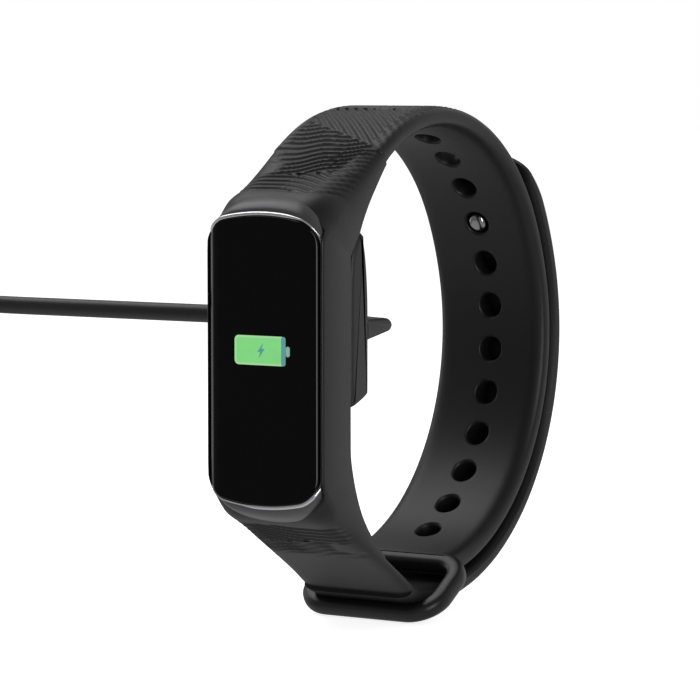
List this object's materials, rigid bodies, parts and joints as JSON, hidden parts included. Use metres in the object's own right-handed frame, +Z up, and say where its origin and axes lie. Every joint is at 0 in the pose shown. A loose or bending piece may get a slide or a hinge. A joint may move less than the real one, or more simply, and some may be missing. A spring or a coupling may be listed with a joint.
{
  "type": "fitness tracker band",
  "caption": "Slim upright fitness tracker pod in a black silicone wrist strap with punched holes, keeper ring and metal stud, docked on a clip-on charging cradle with its cable.",
  "frame": {"origin": "on the floor, under the centre of the band, its keeper ring and the charging cradle, without the cable", "axes": "+X across the band, to the wearer's side the cable does not leave; -Y is the way the display faces; +Z up, with the keeper ring at the bottom"},
  "size_m": [0.1298, 0.0668, 0.07],
  "materials": {
    "strap_silicone": "soft matt",
    "keeper_silicone": "soft matt",
    "stud_metal": "polished",
    "cover_lens": "polished, black behind",
    "frame_metal": "satin",
    "screen": "gloss",
    "flex_film": "satin",
    "seal_rubber": "matt",
    "case_plastic": "fine grain",
    "chassis_plastic": "matt",
    "battery_foil": "matt foil",
    "foam": "open foam",
    "circuit_board": "solder mask",
    "shield_steel": "tinned",
    "chip_resin": "matt",
    "antenna_copper": "plated",
    "screw_steel": "zinc plated",
    "motor_steel": "drawn",
    "weight_steel": "sintered",
    "led_resin": "clear resin",
    "sensor_glass": "polished",
    "gold_plate": "gold plated",
    "cradle_plastic": "fine grain",
    "magnet_nickel": "nickel plated",
    "cable_jacket": "matt",
    "usb_steel": "nickel plated",
    "usb_insulator": "matt"
  },
  "bodies": {
    "band": {"wrist_strap": "strap_silicone", "keeper_ring": "keeper_silicone"},
    "tail": {"strap_tail": "strap_silicone", "fastening_stud": "stud_metal"},
    "tracker": {"cover_glass": "cover_lens", "front_frame": "frame_metal", "display_panel": "screen", "display_flex": "flex_film", "case_seal": "seal_rubber", "pod_case": "case_plastic", "inner_chassis": "chassis_plastic", "battery_cell": "battery_foil", "battery_foam": "foam", "main_board": "circuit_board", "shield_can": "shield_steel", "radio_chip": "chip_resin", "motion_sensor": "chip_resin", "antenna_strip": "antenna_copper", "chassis_screws": "screw_steel", "motor_case": "motor_steel", "sensor_board": "circuit_board", "sensor_leds": "led_resin", "light_sensor": "chip_resin", "sensor_window": "sensor_glass", "charging_contacts": "gold_plate"},
    "motor_rotor": {"motor_weight": "weight_steel"},
    "charger": {"cradle_base": "cradle_plastic", "cradle_cover": "cradle_plastic", "cradle_board": "circuit_board", "cradle_magnets": "magnet_nickel", "pin_barrels": "gold_plate", "strain_relief": "cable_jacket", "charging_cable": "cable_jacket", "cable_coil": "cable_jacket", "usb_grip": "cable_jacket", "usb_shell": "usb_steel", "usb_tongue": "usb_insulator", "usb_contacts": "gold_plate"},
    "left_contact": {"left_pin": "gold_plate"},
    "right_contact": {"right_pin": "gold_plate"}
  },
  "joints": [
    {"name": "tail_peel", "type": "hinge", "parent": "band", "child": "tail", "pos_m": [0, 0.03219, 0.03754], "axis": [-1, 0, 0], "range_deg": [0, 60], "stiffness_Nm_per_rad": 0.004},
    {"name": "tracker_push_out", "type": "slide", "parent": "band", "child": "tracker", "axis": [0, -1, 0], "range_m": [0, 0.011]},
    {"name": "motor_spin", "type": "hinge", "parent": "tracker", "child": "motor_rotor", "pos_m": [0.0032, -0.02844, 0.0505], "axis": [0, -1, 0], "continuous": true},
    {"name": "charger_pull_off", "type": "slide", "parent": "band", "child": "charger", "axis": [0, 1, 0], "range_m": [0, 0.015]},
    {"name": "left_pin_press", "type": "slide", "parent": "charger", "child": "left_contact", "axis": [0, 1, 0], "range_m": [0, 0.0005], "stiffness_N_per_m": 400},
    {"name": "right_pin_press", "type": "slide", "parent": "charger", "child": "right_contact", "axis": [0, 1, 0], "range_m": [0, 0.0005], "stiffness_N_per_m": 400}
  ]
}
